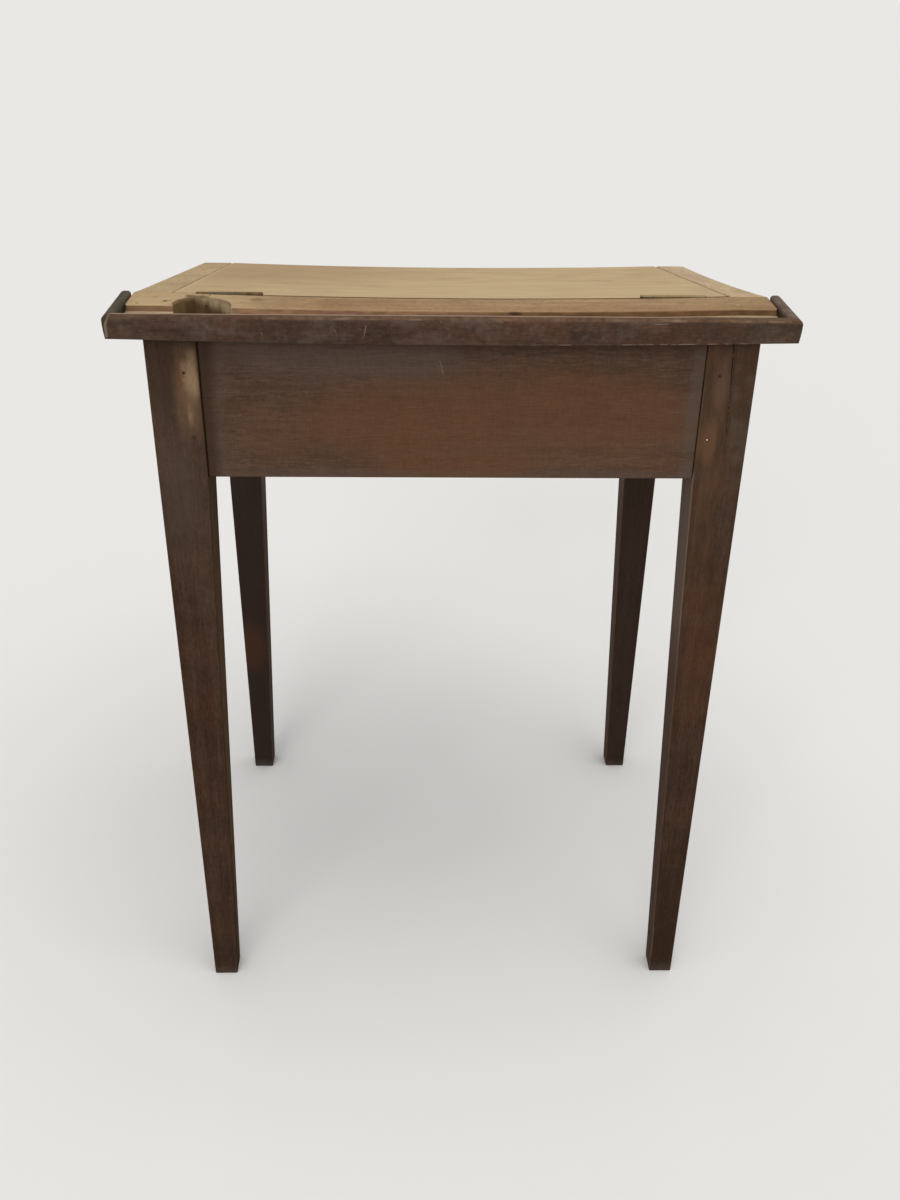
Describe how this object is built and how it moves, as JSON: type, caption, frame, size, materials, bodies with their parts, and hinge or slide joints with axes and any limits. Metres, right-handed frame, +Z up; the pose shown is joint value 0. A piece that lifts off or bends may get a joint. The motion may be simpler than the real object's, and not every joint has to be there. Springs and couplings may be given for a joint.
{
  "type": "kids desk",
  "caption": "Wooden pupil's desk with tapered legs, a book box under a hinged sloping lid, and a rear strip with pen tray and inkwell hole.",
  "frame": {"origin": "on the floor, under the middle of the overall box of the desk", "axes": "+Z up, +X to the right seen from behind the desk (the side of the pencil rail), +Y towards the pupil"},
  "size_m": [0.508, 0.3868, 0.6785],
  "materials": {
    "frame_wood": "dark brown stained wood, worn satin",
    "top_wood": "light brown bare sanded wood, matt",
    "rail_wood": "dark brown stained wood, worn along its upper edge",
    "end_wood": "greyed brown stained wood, rubbed",
    "box_wood": "plain unfinished inside wood",
    "hinge_brass": "tarnished brass",
    "nail_steel": "dulled darkened steel"
  },
  "bodies": {
    "frame": {"apron_front": "frame_wood", "apron_front_brad_left": "nail_steel", "apron_front_brad_right": "nail_steel", "apron_left": "frame_wood", "apron_left_brad_front": "nail_steel", "apron_left_brad_rear": "nail_steel", "apron_rear": "frame_wood", "apron_rear_brad_lower_left": "nail_steel", "apron_rear_brad_lower_right": "nail_steel", "apron_rear_brad_upper_left": "nail_steel", "apron_rear_brad_upper_right": "nail_steel", "apron_right": "frame_wood", "apron_right_brad_front": "nail_steel", "apron_right_brad_rear": "nail_steel", "floor_board_1": "box_wood", "floor_board_2": "box_wood", "floor_board_3": "box_wood", "hinge_left_pin": "hinge_brass", "hinge_left_strip_leaf": "hinge_brass", "hinge_left_strip_screw_left": "hinge_brass", "hinge_left_strip_screw_right": "hinge_brass", "hinge_right_pin": "hinge_brass", "hinge_right_strip_leaf": "hinge_brass", "hinge_right_strip_screw_left": "hinge_brass", "hinge_right_strip_screw_right": "hinge_brass", "hinge_strip": "top_wood", "leg_front_left": "frame_wood", "leg_front_right": "frame_wood", "leg_rear_left": "frame_wood", "leg_rear_right": "frame_wood", "pencil_rail": "rail_wood", "rail_end_piece_left": "end_wood", "rail_end_piece_right": "end_wood", "side_rail_nail_left_front": "nail_steel", "side_rail_nail_left_rear": "nail_steel", "side_rail_nail_right_front": "nail_steel", "side_rail_nail_right_rear": "nail_steel", "strip_nail_left_land": "nail_steel", "strip_nail_left_tray": "nail_steel", "strip_nail_right_land": "nail_steel", "strip_nail_right_tray": "nail_steel", "top_side_rail_left": "top_wood", "top_side_rail_right": "top_wood"},
    "lid": {"hinge_left_lid_leaf": "hinge_brass", "hinge_left_lid_screw_left": "hinge_brass", "hinge_left_lid_screw_right": "hinge_brass", "hinge_right_lid_leaf": "hinge_brass", "hinge_right_lid_screw_left": "hinge_brass", "hinge_right_lid_screw_right": "hinge_brass", "lid_batten_left": "box_wood", "lid_batten_left_screw_1": "nail_steel", "lid_batten_left_screw_2": "nail_steel", "lid_batten_left_screw_3": "nail_steel", "lid_batten_right": "box_wood", "lid_batten_right_screw_1": "nail_steel", "lid_batten_right_screw_2": "nail_steel", "lid_batten_right_screw_3": "nail_steel", "lid_board_front": "top_wood", "lid_board_rear": "top_wood"}
  },
  "joints": [
    {"name": "lid_hinge", "type": "hinge", "parent": "frame", "child": "lid", "pos_m": [0, -0.1205, 0.6742], "axis": [1, 0, 0], "range_deg": [0, 105]}
  ]
}
